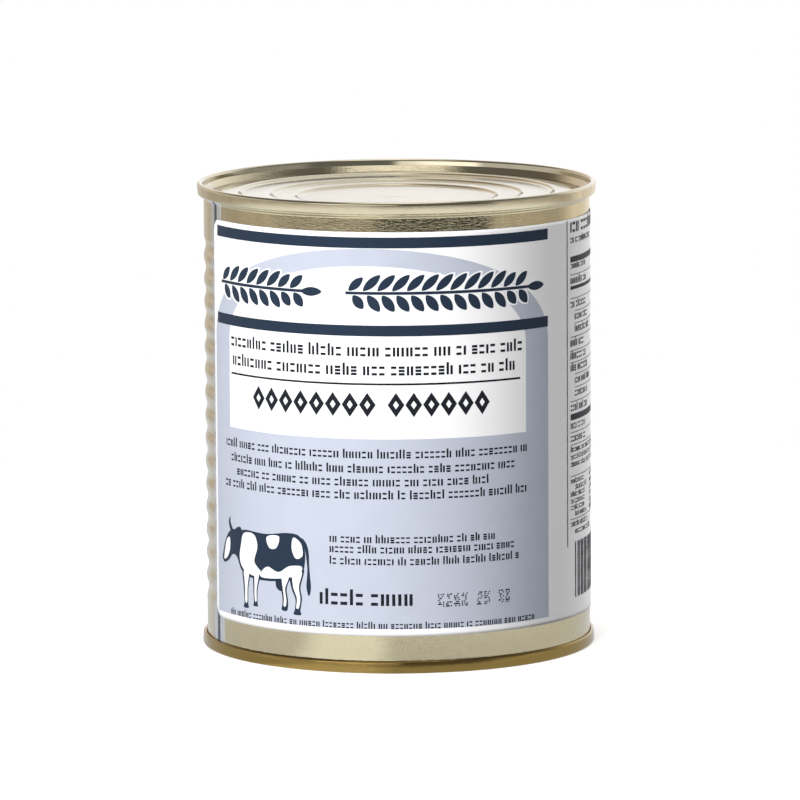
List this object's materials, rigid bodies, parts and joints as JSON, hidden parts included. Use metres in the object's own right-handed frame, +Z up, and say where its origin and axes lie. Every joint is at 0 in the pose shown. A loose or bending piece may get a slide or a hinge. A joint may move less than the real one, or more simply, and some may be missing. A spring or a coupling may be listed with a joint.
{
  "type": "container of powdered butter",
  "caption": "Shut round food can with beaded tinplate wall, ringed double-seamed ends and a wrap-round paper label.",
  "frame": {"origin": "on the ground in the middle of the bottom seam", "axes": "+Z up along the can's axis, -Y towards the front of the label, +X to its right"},
  "size_m": [0.1026, 0.1026, 0.1198],
  "materials": {
    "body_tinplate": "gold-lacquered tinplate, drawn finish",
    "end_tinplate": "gold-lacquered tinplate, satin",
    "label_paper": "smooth printed paper"
  },
  "bodies": {
    "root": {"can_body": "body_tinplate", "top_end": "end_tinplate", "bottom_end": "end_tinplate", "label": "label_paper"}
  },
  "joints": []
}
